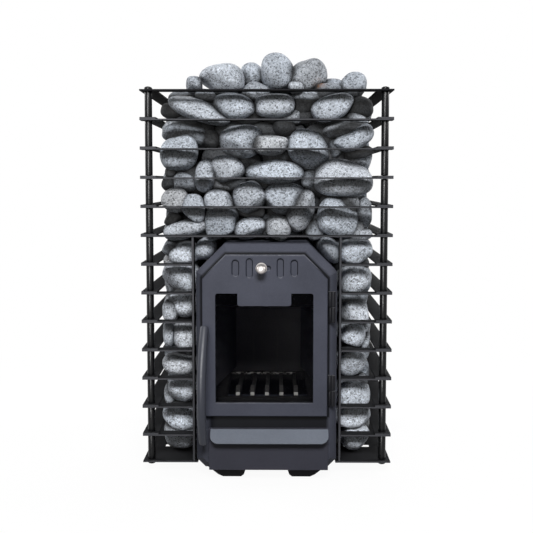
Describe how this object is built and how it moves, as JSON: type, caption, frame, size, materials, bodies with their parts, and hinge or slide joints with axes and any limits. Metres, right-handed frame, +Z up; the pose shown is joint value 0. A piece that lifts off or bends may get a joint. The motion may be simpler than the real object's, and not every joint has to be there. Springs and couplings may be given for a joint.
{
  "type": "sauna heater stove",
  "caption": "Wood-burning sauna heater: glazed-door firebox with ash drawer and bowed handle, inside a square cage of flat steel bars filled and heaped with stones.",
  "frame": {"origin": "on the floor, under the middle of the whole heater's bounding box", "axes": "+Z up, the door and drawer face -Y, +X to the right of someone facing the door"},
  "size_m": [0.47, 0.577, 0.8025],
  "materials": {
    "cage_steel": "matte",
    "firebox_steel": "matte",
    "door_steel": "satin",
    "lip_steel": "satin",
    "cast_iron": "matte",
    "fireclay": "matte",
    "bright_steel": "polished",
    "pane_glass": "gloss",
    "rope_seal": "matte",
    "granite": "matte"
  },
  "bodies": {
    "stove": {"base_plate": "cage_steel", "bar_level_01": "cage_steel", "bar_level_02": "cage_steel", "bar_level_03": "cage_steel", "bar_level_04": "cage_steel", "bar_level_05": "cage_steel", "bar_level_06": "cage_steel", "bar_level_07": "cage_steel", "bar_level_08": "cage_steel", "bar_level_09": "cage_steel", "bar_level_10": "cage_steel", "bar_level_11": "cage_steel", "bar_level_12": "cage_steel", "top_frame": "cage_steel", "corner_post_front_left": "cage_steel", "corner_post_front_right": "cage_steel", "corner_post_back_left": "cage_steel", "corner_post_back_right": "cage_steel", "upright_left": "cage_steel", "upright_right": "cage_steel", "firebox_body": "firebox_steel", "firebox_back": "firebox_steel", "front_frame": "firebox_steel", "grate_shelf": "firebox_steel", "fire_grate": "cast_iron", "liner_back": "fireclay", "liner_left": "fireclay", "liner_right": "fireclay", "baffle_plate": "firebox_steel", "flue_collar": "firebox_steel", "foot_rail_left": "firebox_steel", "foot_rail_right": "firebox_steel", "catch_clip": "bright_steel", "hinge_frame_upper": "firebox_steel", "hinge_frame_lower": "firebox_steel", "stones_front": "granite", "stones_left": "granite", "stones_right": "granite", "stones_back": "granite", "stones_middle": "granite", "stones_heap": "granite"},
    "door": {"door_panel": "door_steel", "door_gasket": "rope_seal", "door_glass": "pane_glass", "glass_retainer": "firebox_steel", "door_handle": "firebox_steel", "catch_pin": "bright_steel", "hinge_door_upper": "firebox_steel", "hinge_door_lower": "firebox_steel", "slider_guide": "firebox_steel"},
    "air_slider": {"slider_plate": "door_steel", "slider_knob": "bright_steel"},
    "ash_drawer": {"drawer_pan": "firebox_steel", "drawer_front": "door_steel", "drawer_lip": "lip_steel"}
  },
  "joints": [
    {"name": "door_swing", "type": "hinge", "parent": "stove", "child": "door", "pos_m": [0.1224, -0.22582, 0.25], "axis": [0, 0, 1], "range_deg": [0, 120]},
    {"name": "air_slide", "type": "slide", "parent": "door", "child": "air_slider", "axis": [1, 0, 0], "range_m": [0, 0.0127]},
    {"name": "drawer_slide", "type": "slide", "parent": "stove", "child": "ash_drawer", "axis": [0, -1, 0], "range_m": [0, 0.25]}
  ]
}
